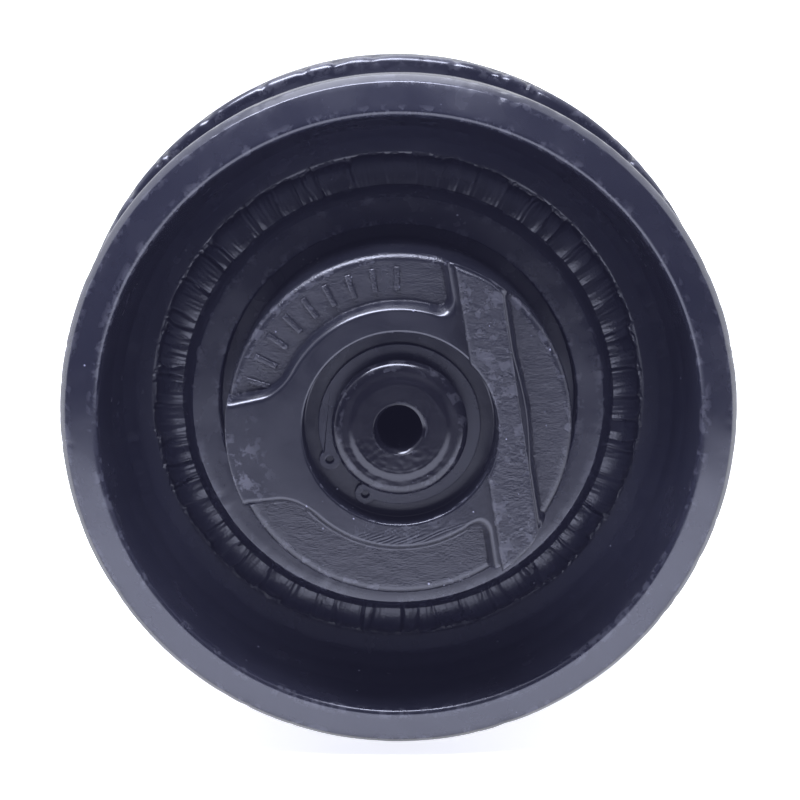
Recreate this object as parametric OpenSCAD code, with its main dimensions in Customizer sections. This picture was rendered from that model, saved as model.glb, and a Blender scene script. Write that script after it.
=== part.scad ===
// Triple-flange track roller: a shell of three welded flanges on a hub tube turns
// on a fixed shaft, sealed at each end by a pair of lapped rings under a cast collar.
// Axle along Y, visible end towards -Y, +Z up, origin on the axle at mid-width.
// Inside the modules, a half is drawn with its axis along Z: r is the radius and
// t is the distance out from the roller's mid-plane.

/* [Shaft] */
// Length over the two flush shaft ends
shaft_len = 221; // [216:1:230]
// Diameter of the stepped-down ends that carry the collars
shaft_end_d = 45; // [40:1:46]
// Diameter of the journal that the bushings run on
journal_d = 60; // [54:1:62]
// Round on the edge of each shaft end
shaft_edge_r = 3; // [1:0.5:4]
// Tapping diameter of the bolt hole in each end (M20)
bolt_hole_d = 17; // [14:0.5:18]
// Full-diameter depth of each bolt hole
bolt_hole_depth = 42; // [30:1:44]

/* [Collar] */
// Outside diameter of the cast end collar
collar_d = 115; // [112:1:118]
// Diameter of the counterbore round the retaining ring
counterbore_d = 64; // [62:1:66]
// Depth of the counterbore below the machined face
counterbore_depth = 10.5; // [9:0.5:12]
// Outside diameter of the machined seat round the counterbore
seat_d = 79; // [76:1:82]
// Height of the machined seat over the as-cast face
seat_step = 7; // [5:0.5:8]
// Half width of the machined spoke opposite the key
spoke_half = 16; // [12:1:18]
// Distance from the axis to the near side of the key bar
key_near = 26; // [25:0.5:28]
// Width of the key bar
key_w = 14; // [10:0.5:16]
// Height of the key bar over the machined seat
key_h = 8; // [5:0.5:10]
// Turn of the fixed collars about the axle at rest, in degrees
key_angle = 9; // [0:1:15]

/* [Shell] */
// Length of the hub tube
hub_len = 117; // [116:0.5:118]
// Outside diameter of the hub tube
hub_d = 152; // [150:1:154]
// Outside diameter of the hub tube's end faces
hub_end_d = 144; // [142:1:146]
// Inside diameter of the mouth round the collar
mouth_d = 125; // [122:1:127]
// Diameter of the two outer flanges
flange_d = 230; // [228:1:234]
// Width over the rims of the two outer flanges
flange_span = 178; // [174:1:182]
// Width of each outer flange's running rim
rim_w = 24; // [18:1:28]
// Diameter of the raised lip inside each outer flange's bevel
lip_d = 203; // [201:1:205]
// Height of that lip over the rim's edge
lip_h = 4; // [2:0.5:5]
// Diameter of the centre flange
centre_d = 239; // [234:1:242]
// Width of the centre flange's rim
centre_rim_w = 27; // [22:1:30]

/* [Seals and bearings] */
// Diameter of the seal cavities in hub and collar
seal_bore_d = 106; // [105:0.5:107]
// Gap between the two lapped seal rings, and end play at each bushing
running_gap = 0.3; // [0.2:0.05:0.4]
// Radial clearance of the bushings on the journal
bush_clearance = 0.05; // [0.02:0.01:0.09]
// Wall of the bushings
bush_wall = 6; // [5:0.5:7]
// Thickness of the retaining rings
ring_t = 1.75; // [1.5:0.05:2]

/* [Hidden] */
$fn = 96;

paint = [0.14, 0.15, 0.21];
end_r = shaft_end_d / 2;
journal_r = journal_d / 2;
end_t = shaft_len / 2;                    // machined seat and shaft end, flush
cast_t = end_t - seat_step;               // as-cast face of the collar
key_t = end_t + key_h;                    // top of the key bar
floor_t = end_t - counterbore_depth;      // bottom of the counterbore
shoulder_t = 40.5;                        // shaft shoulder under the collar's boss
hub_t = hub_len / 2;
hub_r = hub_d / 2;
mouth_t = hub_t - 9.5;                    // floor of the hub's mouth
cavity_t = 36;                            // floor of the hub's seal cavity
reservoir_t = 16;                         // half length of the oil reservoir
face_t = 47.5;                            // plane between the lapped seal rings
seal_r = seal_bore_d / 2;
bush_r = journal_r + bush_clearance + bush_wall;
boss_r = 38;                              // collar boss inside the seal rings
groove_r = end_r - 1.25;                  // bottom of the retaining ring groove
rim_t = flange_span / 2;
toric_r = 3.45;
toric_back = 6.7;                         // seal face to toric centre
gallery_r = 4;
corner_r = 7;                             // fillet where the machined seat meets a pocket

// Stands the half drawn along Z on the roller's front end, at -Y.
module front() { rotate([90, 0, 0]) children(); }
// The same half, mirrored to the rear end.
module rear() { mirror([0, 1, 0]) front() children(); }

// Half profile of the shaft in r and t.
module shaft_profile() {
    square([journal_r, shoulder_t]);
    square([end_r, end_t - shaft_edge_r]);
    square([end_r - shaft_edge_r, end_t]);
    translate([end_r - shaft_edge_r, end_t - shaft_edge_r]) circle(shaft_edge_r);
}

// What is cut from each end of the shaft: bolt hole with its drill point, ring groove.
module shaft_end_cut() {
    translate([0, 0, end_t - bolt_hole_depth]) {
        cylinder(h = bolt_hole_depth + 1, d = bolt_hole_d);
        translate([0, 0, -bolt_hole_d * 0.3])
            cylinder(h = bolt_hole_d * 0.3, r1 = 0, d2 = bolt_hole_d);
    }
    translate([0, 0, floor_t + 0.05]) difference() {
        cylinder(h = ring_t + 0.1, r = end_r + 1);
        translate([0, 0, -1]) cylinder(h = ring_t + 3, r = groove_r);
    }
}

module shaft() {
    color([0.3, 0.31, 0.36]) difference() {
        union() {
            front() rotate_extrude() shaft_profile();
            rear() rotate_extrude() shaft_profile();
        }
        front() shaft_end_cut();
        rear() shaft_end_cut();
        rear() cylinder(h = end_t - bolt_hole_depth, r = gallery_r);
        cylinder(h = journal_r + 1, r = 3);
    }
}

// Plug pressed into the oil gallery, below the rear bolt hole's drill point.
module oil_plug() {
    color("silver") rear()
        translate([0, 0, end_t - bolt_hole_depth - bolt_hole_d * 0.3 - 10])
            cylinder(h = 9.8, r = gallery_r);
}

// Fillet between the seat's circle and a straight side, with its centre at x, y.
module seat_corner(x, y, side_x, side_y) {
    k = seat_d / 2 / norm([x, y]);
    difference() {
        polygon([[side_x, side_y], [x * k, y * k], [x * k * 0.8, y * k * 0.8],
            [side_x == x ? x : side_x * 0.8, side_x == x ? side_y * 0.5 : y * 0.7]]);
        translate([x, y]) circle(corner_r);
    }
}

// Plan of the machined seat: ring, spoke and the strip under the key bar.
module seat_plan() {
    reach = seat_d / 2 + corner_r;
    spoke_x = -sqrt(pow(reach, 2) - pow(spoke_half + corner_r, 2));
    strip_x = key_near - 1.5 - corner_r;
    strip_y = sqrt(pow(reach, 2) - pow(strip_x, 2));
    circle(d = seat_d);
    intersection() {
        circle(d = collar_d);
        union() {
            translate([-collar_d, -spoke_half]) square([collar_d, 2 * spoke_half]);
            translate([key_near - 1.5, -collar_d]) square([key_w + 1.5, 2 * collar_d]);
        }
    }
    for (m = [0, 1]) mirror([0, m]) {
        seat_corner(spoke_x, spoke_half + corner_r, spoke_x, spoke_half);
        seat_corner(strip_x, strip_y, key_near - 1.5, strip_y);
    }
}

// Plan of the key bar: a chord strip that ends on the collar's edge.
module key_plan() {
    intersection() {
        circle(d = collar_d);
        translate([key_near, -collar_d]) square([key_w, 2 * collar_d]);
    }
}

// Plain raised casting bars in the upper pocket, all alike.
module casting_marks() {
    for (a = [82 : 9 : 154]) rotate(a)
        translate([seat_d / 2 + 5.5, -0.9, cast_t - 1])
            cube([8, 1.8, 2.2]);
}

// Cast collar: body with the seal cavity, machined seat, key bar and counterbore.
module collar() {
    edge = 2.5;
    color(paint) rotate([0, 0, key_angle]) difference() {
        union() {
            rotate_extrude() {
                polygon([[end_r, shoulder_t], [boss_r, shoulder_t], [boss_r, 59],
                    [seal_r, 59], [seal_r, mouth_t + 0.6],
                    [collar_d / 2, mouth_t + 0.6], [collar_d / 2, cast_t - edge],
                    [collar_d / 2 - edge, cast_t], [end_r, cast_t]]);
                translate([collar_d / 2 - edge, cast_t - edge]) circle(edge);
            }
            translate([0, 0, floor_t - 5]) linear_extrude(end_t - floor_t + 5)
                difference() { seat_plan(); circle(end_r + 4); }
            translate([0, 0, floor_t - 5]) linear_extrude(key_t - floor_t + 5) key_plan();
            casting_marks();
        }
        translate([0, 0, floor_t]) cylinder(h = 60, d = counterbore_d);
        translate([0, 0, 70]) cylinder(h = 4, r = end_r + 3);
    }
}

// Plan of the open retaining ring with its two drilled lugs.
module ring_plan() {
    lug_r = end_r + 3.6;
    half_gap = 18.5;
    difference() {
        union() {
            difference() {
                circle(end_r + 4.5);
                polygon([[0, 0], 60 * [cos(half_gap), -sin(half_gap)],
                    [60, 0], 60 * [cos(half_gap), sin(half_gap)]]);
            }
            for (a = [-half_gap, half_gap]) rotate(a) translate([lug_r, 0]) circle(3.5);
        }
        circle(groove_r + 0.05);
        for (a = [-half_gap, half_gap]) rotate(a) translate([lug_r, 0]) circle(1.35);
    }
}

module retaining_ring() {
    color([0.2, 0.21, 0.26]) translate([0, 0, floor_t + 0.1]) rotate([0, 0, 225.5])
        linear_extrude(ring_t) ring_plan();
}

// Round-section rubber ring: centre radius, place along the axis, section radius.
module rubber_ring(r, t, section) {
    color([0.08, 0.08, 0.09]) rotate_extrude() translate([r, t]) circle(section);
}

// Lapped metal seal ring, with its face at t and its back turned inwards.
module seal_ring(t) {
    color("gainsboro") translate([0, 0, t]) rotate_extrude()
        polygon([[42.5, -9.85], [45.5, -9.85], [46, -3.3], [50.5, -2.5], [50.5, 0], [42.5, 0]]);
}

// Turns the rotating half of a seal into the fixed half, across the lapped plane.
module across_face() {
    translate([0, 0, 2 * face_t]) mirror([0, 0, 1]) children();
}

module rotating_seal_ring() { seal_ring(face_t - running_gap / 2); }
module fixed_seal_ring() { across_face() rotating_seal_ring(); }
module rotating_toric() { rubber_ring(seal_r - toric_r - 0.05, face_t - toric_back, toric_r); }
module fixed_toric() { across_face() rotating_toric(); }
module collar_o_ring() { rubber_ring(end_r + 1.5, 72, 1.48); }

// Flanged bushing pressed into the hub, its flange running against the collar's boss.
module bushing() {
    flange_t = shoulder_t - running_gap;
    color([0.72, 0.53, 0.25]) rotate_extrude()
        polygon([[journal_r + bush_clearance, 10], [bush_r, 10], [bush_r, cavity_t],
            [boss_r + 2, cavity_t], [boss_r + 2, flange_t],
            [journal_r + bush_clearance, flange_t]]);
}

// Hub tube, turned from one wall: its half outline is carried on by its mirror image.
module hub_tube() {
    half = [[hub_r, hub_t - 6], [hub_end_d / 2, hub_t], [mouth_d / 2, hub_t],
        [mouth_d / 2, mouth_t], [seal_r, mouth_t], [seal_r, cavity_t], [bush_r, cavity_t],
        [bush_r, reservoir_t], [60, reservoir_t]];
    n = len(half) - 1;
    color(paint) front() rotate_extrude()
        polygon(concat(half, [for (i = [0 : n]) [half[n - i].x, -half[n - i].y]]));
}

// Bell-shaped outer flange: web on the tube, flared wall, running rim, bevel and lip.
module outer_flange() {
    r = flange_d / 2;
    edge = 3;
    lip_r = lip_d / 2;
    color(paint) rotate_extrude() {
        polygon([[hub_r, 33], [hub_r + 13, 33], [r - 10, 50], [r - 2.5, rim_t - rim_w - 2],
            [r, rim_t - rim_w + 1], [r, rim_t - edge], [r - edge * 0.68, rim_t - 0.1],
            [lip_r + 1, rim_t + lip_h - 0.2], [lip_r + 0.3, rim_t + lip_h],
            [lip_r - 0.6, rim_t + lip_h - 0.6], [lip_r - 2, 68],
            [lip_r - 5, 56], [lip_r - 9, 50], [hub_r + 11, 47], [hub_r, 47]]);
        translate([r - edge, rim_t - edge]) circle(edge);
    }
}

// Centre flange: a thick disc with a wide rounded rim.
module centre_flange() {
    r = centre_d / 2;
    w = centre_rim_w / 2;
    edge = 3;
    color(paint) front() rotate_extrude() {
        polygon([[hub_r, -17], [hub_r + 10, -17], [r - edge - 3, -w], [r - edge, -w],
            [r, -w + edge], [r, w - edge], [r - edge, w], [r - edge - 3, w],
            [hub_r + 10, 17], [hub_r, 17]]);
        for (s = [-1, 1]) translate([r - edge, s * (w - edge)]) circle(edge);
    }
}

// Fillet weld that ties the bell to the end of the hub tube.
module flange_weld() {
    color(paint) rotate_extrude()
        polygon([[hub_r, 47], [hub_r + 11, 47], [hub_r + 9.5, 50], [hub_r + 6, 52.4],
            [hub_r, 53]]);
}

// Fillet weld at the root of the centre flange.
module centre_weld() {
    color(paint) rotate_extrude()
        polygon([[hub_r, 17], [hub_r + 7, 17], [hub_r + 5.2, 20.8], [hub_r, 24]]);
}

shaft();
oil_plug();
front() collar();  // collar_front
rear() collar();  // collar_rear
front() retaining_ring();  // retaining_ring_front
rear() retaining_ring();  // retaining_ring_rear
front() collar_o_ring();  // collar_o_ring_front
rear() collar_o_ring();  // collar_o_ring_rear
front() fixed_seal_ring();  // fixed_seal_ring_front
rear() fixed_seal_ring();  // fixed_seal_ring_rear
front() fixed_toric();  // fixed_toric_front
rear() fixed_toric();  // fixed_toric_rear
front() rotating_seal_ring();  // rotating_seal_ring_front
rear() rotating_seal_ring();  // rotating_seal_ring_rear
front() rotating_toric();  // rotating_toric_front
rear() rotating_toric();  // rotating_toric_rear
front() bushing();  // bushing_front
rear() bushing();  // bushing_rear
hub_tube();
front() outer_flange();  // outer_flange_front
rear() outer_flange();  // outer_flange_rear
centre_flange();
front() flange_weld();  // flange_weld_front
rear() flange_weld();  // flange_weld_rear
front() centre_weld();  // centre_weld_front
rear() centre_weld();  // centre_weld_rear
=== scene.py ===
"""Looks of a triple-flange track roller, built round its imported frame.

The roller's axle lies along Y, with the end that faces the camera at -Y. Each turned
piece is an outline in radius and distance from the mid-plane, carried once round the
axle; the collars' cast faces are height fields on the same kind of grid.
"""

import logging
import math
from collections.abc import Callable, Sequence
from dataclasses import dataclass, field
from enum import Enum

import bmesh
import bpy
import numpy as np
from mathutils import Matrix, Vector


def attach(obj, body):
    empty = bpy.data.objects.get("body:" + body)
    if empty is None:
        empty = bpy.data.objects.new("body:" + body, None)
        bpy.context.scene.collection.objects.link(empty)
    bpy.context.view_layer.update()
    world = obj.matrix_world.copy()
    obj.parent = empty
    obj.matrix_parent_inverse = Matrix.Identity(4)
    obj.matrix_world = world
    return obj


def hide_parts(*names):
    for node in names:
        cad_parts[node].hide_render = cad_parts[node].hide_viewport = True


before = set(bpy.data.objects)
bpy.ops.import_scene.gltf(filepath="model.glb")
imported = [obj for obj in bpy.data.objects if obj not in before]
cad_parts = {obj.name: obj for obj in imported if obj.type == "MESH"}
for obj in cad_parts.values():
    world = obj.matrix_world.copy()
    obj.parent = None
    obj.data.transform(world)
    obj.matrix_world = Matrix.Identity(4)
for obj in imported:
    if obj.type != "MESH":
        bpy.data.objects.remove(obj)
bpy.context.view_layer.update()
LOG = logging.getLogger("track_roller")
MM = 0.001
FIXED = "fixed_axle"
SHELL = "roller_shell"
MERGE = 1e-6  # Points nearer than this, in metres, are one.
NEAR_STEPS, FAR_STEPS = 720, 480  # Places round the axle on the front pieces and on the others.
Corner = tuple[float, float, float]
Push = Callable[[np.ndarray, np.ndarray, np.ndarray], np.ndarray]


class End(Enum):
    """The two ends of the roller, each with the way it points along Y."""

    FRONT = -1.0
    REAR = 1.0

    @property
    def tag(self) -> str:
        """The end's name as the frame's nodes write it."""
        return self.name.lower()


class Ground(Enum):
    """What lies under the paint."""

    TURNED = "turned steel"
    CAST = "sand-cast iron with machined seats"
    WELDED = "weld metal"
    SPRING = "stamped spring steel"


# --------------------------------------------------------------------- surfaces


@dataclass
class Patch:
    """A grid of points that becomes one closed skin.

    Attributes:
        points: Grid of places in millimetres, shaped (u, v, 3).
        wrap_v: Whether the last v column joins the first.
        caps: What closes an open v direction: "pole" on the axle, or one "base" face.
        marks: Values per point, by attribute name.
    """

    points: np.ndarray
    wrap_v: bool = True
    caps: str = "pole"
    marks: dict[str, np.ndarray] = field(default_factory=dict)


def unit(v: np.ndarray) -> np.ndarray:
    """Vectors of length one along the last axis of v."""
    return v / np.maximum(np.linalg.norm(v, axis=-1, keepdims=True), 1e-12)


def smooth_ramp(x: np.ndarray, low: float, high: float) -> np.ndarray:
    """Cubic ease from 0 at low to 1 at high, flat at both ends."""
    s = np.clip((x - low) / (high - low), 0.0, 1.0)
    return s * s * (3.0 - 2.0 * s)


def ripple_field(places: np.ndarray, wavelength: float, seed: int, waves: int = 26) -> np.ndarray:
    """Even random relief: a sum of plane cosine waves in random directions.

    Args:
        places: Points in millimetres, last axis 3.
        wavelength: Mean distance between crests in millimetres.
        seed: Seed of the directions, lengths and phases.
        waves: How many waves are added.

    Returns:
        One value per point, with a standard deviation near 1.
    """
    rng = np.random.default_rng(seed)
    directions = unit(rng.normal(size=(waves, 3)))
    numbers = 2.0 * np.pi / (wavelength * rng.uniform(0.65, 1.6, waves))
    phases = rng.uniform(0.0, 2.0 * np.pi, waves)
    total = np.zeros(places.shape[:-1])
    for direction, number, phase in zip(directions, numbers, phases):
        total += np.cos(places @ (direction * number) + phase)
    return total * math.sqrt(2.0 / waves)


def rounded_outline(corners: Sequence[Corner], step: float | Sequence[float],
                    closed: bool = True) -> tuple[np.ndarray, np.ndarray]:
    """Turns corners into a dense outline whose corners are arcs.

    An arc of the corner's radius touches both sides, at radius over the tangent of the
    half angle from the corner. Straight stretches get points no further than step apart.

    Args:
        corners: (r, t, round) of each corner in millimetres.
        step: Longest gap between points on a straight stretch, or one for each stretch.
        closed: Whether the last corner joins the first.

    Returns:
        The points, shaped (n, 2), and how far each lies on an outside edge, 0 to 1.
    """
    place = np.array([c[:2] for c in corners], float)
    count = len(corners)
    area = np.sum(place[:, 0] * np.roll(place[:, 1], -1) - place[:, 1] * np.roll(place[:, 0], -1))
    arcs, edges = [], []
    for i, (_, _, radius) in enumerate(corners):
        here = place[i]
        back, ahead = place[i - 1] - here, place[(i + 1) % count] - here
        inner = not closed and i in (0, count - 1)
        if radius <= 0 or inner:
            arcs.append(here[None])
            edges.append(np.zeros(1))
            continue
        a, b = unit(back), unit(ahead)
        half = 0.5 * math.acos(float(np.clip(a @ b, -1, 1)))
        cut = min(radius / math.tan(half), 0.48 * np.linalg.norm(back), 0.48 * np.linalg.norm(ahead))
        radius = cut * math.tan(half)
        centre = here + unit(a + b) * radius / math.sin(half)
        first, last = here + a * cut - centre, here + b * cut - centre
        sweep = math.acos(float(np.clip(unit(first) @ unit(last), -1, 1)))
        n = max(4, int(math.ceil(sweep / math.radians(15.0))) + 1)
        f = np.linspace(0.0, 1.0, n)[:, None]
        arc = (np.sin((1 - f) * sweep) * first + np.sin(f * sweep) * last) / math.sin(sweep)
        arcs.append(centre + arc)
        turn = a[0] * b[1] - a[1] * b[0]
        edges.append(np.full(n, 1.0 if turn * area < 0 else 0.0))
    points, wear = [], []
    for i in range(count):
        points.append(arcs[i])
        wear.append(edges[i])
        if i == count - 1 and not closed:
            break
        start, stop = arcs[i][-1], arcs[(i + 1) % count][0]
        n = int(np.linalg.norm(stop - start) // (step if isinstance(step, float) else step[i]))
        f = np.linspace(0.0, 1.0, n + 2)[1:-1, None]
        points.append(start + (stop - start) * f)
        wear.append(np.zeros(n))
    return np.concatenate(points), np.concatenate(wear)


def outline_normals(points: np.ndarray, closed: bool = True) -> np.ndarray:
    """Outward normals of an outline in the radius and axis plane.

    Args:
        points: (r, t) of each point.
        closed: Whether the last point joins the first.

    Returns:
        A unit vector per point, square to the step from its last to its next neighbour.
    """
    if closed:
        along = np.roll(points, -1, 0) - np.roll(points, 1, 0)
        area = np.sum(points[:, 0] * np.roll(points[:, 1], -1) - points[:, 1] * np.roll(points[:, 0], -1))
    else:
        along = np.gradient(points, axis=0)
        area = 1.0
    normal = unit(np.stack([along[:, 1], -along[:, 0]], -1))
    return normal * (1.0 if area > 0 else -1.0)


def carry_round(radius: np.ndarray, along: np.ndarray, turn: np.ndarray, side: float) -> np.ndarray:
    """Places of an outline carried round the axle.

    x is r cos(turn), z is r sin(turn) and y is the distance from the mid-plane with the
    sign of the roller's end.

    Args:
        radius: Distance from the axle.
        along: Distance from the mid-plane.
        turn: Angle round the axle in radians.
        side: -1 for the front end, 1 for the rear end.

    Returns:
        The places, last axis x, y and z.
    """
    return np.stack(np.broadcast_arrays(radius * np.cos(turn), side * along, radius * np.sin(turn)), -1)


def turned_patch(corners: Sequence[Corner], side: float, steps: int = 360,
                 step: float | Sequence[float] = 2.5, closed: bool = True,
                 push: Push | None = None) -> Patch:
    """An outline with rounded corners turned round the axle.

    Args:
        corners: (r, t, round) of each corner in millimetres.
        side: -1 for the front end, 1 for the rear end.
        steps: Number of places round the axle.
        step: Longest gap along straight stretches, or one for each.
        closed: Whether the outline is a loop; an open one ends on the axle.
        push: Offset along the normal from places, turn and wear; none if left out.

    Returns:
        The grid, with its outside edges marked as wear.
    """
    outline, wear = rounded_outline(corners, step, closed)
    turn = np.linspace(0.0, 2.0 * np.pi, steps, endpoint=False)[:, None]
    radius, along = outline[None, :, 0], outline[None, :, 1]
    marks = np.broadcast_to(wear, (steps, len(wear)))
    if push is not None:
        places = carry_round(radius, along, turn, side)
        lift = push(places, turn, marks)
        normal = outline_normals(outline, closed)
        radius = radius + lift * normal[None, :, 0]
        along = along + lift * normal[None, :, 1]
    return Patch(carry_round(radius, along, turn, side), wrap_v=closed, marks={"wear": marks.copy()})


def block_patch(plan: Callable[[np.ndarray, np.ndarray], tuple[np.ndarray, np.ndarray]], size: tuple[float, float],
                base: float, top: float, edge: float, relief: float, seed: int, gap: float) -> Patch:
    """A raised block with rounded upper edges on any four-sided plan.

    The height is the top less a quarter-circle drop near each side, and the outermost
    rows run straight down to the base, so the same grid makes walls and top.

    Args:
        plan: Takes u and v from -1 to 1 and gives x and y in millimetres.
        size: Rough length along u and v in millimetres.
        base: Height of the foot of the walls.
        top: Height of the top.
        edge: Radius of the upper edges.
        relief: Height of the as-cast unevenness.
        seed: Seed of the unevenness.
        gap: Distance between grid rows in millimetres.

    Returns:
        The block, with places as x, y and height in the collar's own plane.
    """
    def rows(length: float) -> tuple[np.ndarray, np.ndarray]:
        """Places of the grid rows over one length.

        Args:
            length: Length of the block in millimetres.

        Returns:
            Their place from -1 to 1, and how far each lies below the top.
        """
        inset = edge * (1.0 - np.cos(np.linspace(0.0, np.pi / 2, 6)))
        drop = edge * (1.0 - np.sin(np.linspace(0.0, np.pi / 2, 6)))
        middle = np.arange(edge + gap, length / 2.0, gap)
        low = np.linspace(top - base, edge, max(3, int((top - base) / (2.0 * gap))))[:-1]
        inset = np.concatenate([np.zeros(len(low)), inset, middle])
        drop = np.concatenate([low, drop, np.zeros(len(middle))])
        share = 1.0 - 2.0 * inset / length
        return np.concatenate([-share, share[::-1]]), np.concatenate([drop, drop[::-1]])

    u, drop_u = rows(size[0])
    v, drop_v = rows(size[1])
    x, y = plan(u[:, None], v[None, :])
    x, y = np.broadcast_arrays(x, y)
    drop = np.maximum(drop_u[:, None], drop_v[None, :])
    both = (drop_u[:, None] < edge) & (drop_v[None, :] < edge)
    blend = edge - np.sqrt(np.maximum(edge**2 - drop_u[:, None] ** 2 - drop_v[None, :] ** 2, 0.0))
    drop = np.where(both, np.minimum(np.maximum(drop, blend * 0.6), edge), drop)
    height = top - drop
    places = np.stack([x, y, height], -1)
    rough = 0.5 * ripple_field(places, 1.6, seed) + 0.3 * ripple_field(places, 5.0, seed + 1)
    places[..., 2] += relief * rough * (drop < 0.5 * edge)
    wear = np.maximum(np.clip(drop / edge, 0, 1) * (drop <= edge), 0.45 * (drop < edge))
    return Patch(places, wrap_v=False, caps="base", marks={"wear": wear, "cast": np.ones(wear.shape)})


def skin(patch: Patch) -> tuple[np.ndarray, list[list[int]], dict[str, np.ndarray]]:
    """Vertices, outward faces and marks of a patch.

    Quads join each point to its neighbours in u and v. Where the patch is a loop only in
    u, a point on the axle closes each end. The faces are turned over if the signed volume,
    a sixth of the sum of each triangle's triple product, is negative.

    Args:
        patch: The grid.

    Returns:
        Vertices in millimetres, faces as lists of their numbers, and values by attribute.
    """
    nu, nv, _ = patch.points.shape
    vertices = patch.points.reshape(-1, 3)
    marks = {k: v.reshape(-1) for k, v in patch.marks.items()}
    index = np.arange(nu * nv).reshape(nu, nv)
    if patch.caps == "base":
        a, b, c, d = index[:-1, :-1], index[1:, :-1], index[1:, 1:], index[:-1, 1:]
        quads = np.stack([a, b, c, d], -1).reshape(-1, 4)
        rim = np.concatenate([index[0, :-1], index[:-1, -1], index[-1, :0:-1], index[:0:-1, 0]])
        rims = [rim.tolist()]
    else:
        after = np.roll(index, -1, 0)
        if patch.wrap_v:
            left, right = index, np.roll(index, -1, 1)
            left2, right2 = after, np.roll(after, -1, 1)
        else:
            left, right, left2, right2 = index[:, :-1], index[:, 1:], after[:, :-1], after[:, 1:]
        quads = np.stack([left, left2, right2, right], -1).reshape(-1, 4)
        rims = []
        if not patch.wrap_v:
            poles = np.stack([patch.points[:, 0].mean(0), patch.points[:, -1].mean(0)])
            vertices = np.concatenate([vertices, poles])
            marks = {k: np.concatenate([v, np.zeros(2)]) for k, v in marks.items()}
            first = np.stack([np.full(nu, nu * nv), after[:, 0], index[:, 0]], -1)
            last = np.stack([np.full(nu, nu * nv + 1), index[:, -1], after[:, -1]], -1)
            rims = first.tolist() + last.tolist()
    p = vertices[quads]
    volume = np.einsum("ij,ij->", p[:, 0], np.cross(p[:, 1], p[:, 2]) + np.cross(p[:, 2], p[:, 3]))
    faces = quads.tolist() + rims
    if volume < 0:
        faces = [face[::-1] for face in faces]
    return vertices, faces, marks


def in_scene(name: str, data: bpy.types.ID) -> bpy.types.Object:
    """Adds an object to the scene.

    Args:
        name: Name of the object.
        data: Its mesh, light or camera.

    Returns:
        The object.
    """
    made = bpy.data.objects.new(name, data)
    bpy.context.scene.collection.objects.link(made)
    return made


def make_piece(name: str, patches: Sequence[Patch], finish: bpy.types.Material, body: str,
               nodes: Sequence[str] = (), sharp: float = 42.0) -> bpy.types.Object:
    """Puts patches into one mesh object and ties it to the frame.

    Args:
        name: Name of the piece.
        patches: Closed skins, in millimetres.
        finish: Material of the piece.
        body: Body of the frame that it rides on.
        nodes: Nodes of the frame that it stands for.
        sharp: Angle in degrees above which an edge isn't shaded smooth.

    Returns:
        The new object.
    """
    vertices, faces, marks, offset = [], [], {}, 0
    for patch in patches:
        points, quads, values = skin(patch)
        vertices.append(points * MM)
        faces += [[i + offset for i in face] for face in quads]
        for key in ("wear", "cast"):
            marks.setdefault(key, []).append(values.get(key, np.zeros(len(points))))
        offset += len(points)
    mesh = bpy.data.meshes.new(name)
    mesh.from_pydata(np.concatenate(vertices), [], faces)
    for key, values in marks.items():
        layer = mesh.attributes.new(key, "FLOAT", "POINT")
        layer.data.foreach_set("value", np.concatenate(values).astype(np.float32))
    work = bmesh.new()
    work.from_mesh(mesh)
    bmesh.ops.remove_doubles(work, verts=work.verts, dist=MERGE)
    bmesh.ops.dissolve_degenerate(work, dist=MERGE, edges=work.edges)
    work.to_mesh(mesh)
    work.free()
    mesh.validate()
    mesh.shade_smooth()
    mesh.set_sharp_from_angle(angle=math.radians(sharp))
    mesh.materials.append(finish)
    piece = in_scene(name, mesh)
    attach(piece, body)
    if nodes:
        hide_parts(*nodes)
    LOG.info("%s: %d faces on %s", name, len(mesh.polygons), body)
    return piece


# --------------------------------------------------------------------- finishes


def linear(hex_code: str) -> tuple[float, float, float, float]:
    """Linear RGBA of an sRGB hex colour such as "1f2032"."""
    channels = [int(hex_code[i:i + 2], 16) / 255.0 for i in (0, 2, 4)]
    return (*[c / 12.92 if c <= 0.04045 else ((c + 0.055) / 1.055) ** 2.4 for c in channels], 1.0)


def put(tree: bpy.types.NodeTree, kind: str, inputs: dict[str | int, object] | None = None,
        **settings: object) -> bpy.types.Node:
    """Adds a node with its settings, socket values and links.

    Args:
        tree: Node tree to add to.
        kind: Node type, without its ShaderNode prefix.
        inputs: Value, source socket or source node of each input, by name or number. A
            node stands for its first output.
        **settings: Properties of the node itself.

    Returns:
        The node.
    """
    node = tree.nodes.new(f"ShaderNode{kind}")
    for key, value in settings.items():
        setattr(node, key, value)
    for key, value in (inputs or {}).items():
        if isinstance(value, bpy.types.Node):
            value = value.outputs[0]
        if isinstance(value, bpy.types.NodeSocket):
            tree.links.new(value, node.inputs[key])
        else:
            node.inputs[key].default_value = value
    return node


def blank_material(name: str) -> tuple[bpy.types.Material, bpy.types.NodeTree]:
    """A material without nodes.

    Args:
        name: Material name.

    Returns:
        The material and its empty tree.
    """
    made = bpy.data.materials.new(name)
    made.use_nodes = True
    made.node_tree.nodes.clear()
    return made, made.node_tree


def axle_places(tree: bpy.types.NodeTree) -> tuple[bpy.types.NodeSocket, bpy.types.Node, bpy.types.NodeSocket]:
    """Object coordinates, and the distance from the axle.

    Args:
        tree: Node tree to add to.

    Returns:
        The place, the node that parts it into its axes, and the distance.
    """
    place = put(tree, "TexCoord").outputs["Object"]
    axes = put(tree, "SeparateXYZ", {"Vector": place})
    across = put(tree, "CombineXYZ", {"X": axes.outputs["X"], "Y": axes.outputs["Z"]})
    return place, axes, put(tree, "VectorMath", {0: across}, operation="LENGTH").outputs["Value"]


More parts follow.
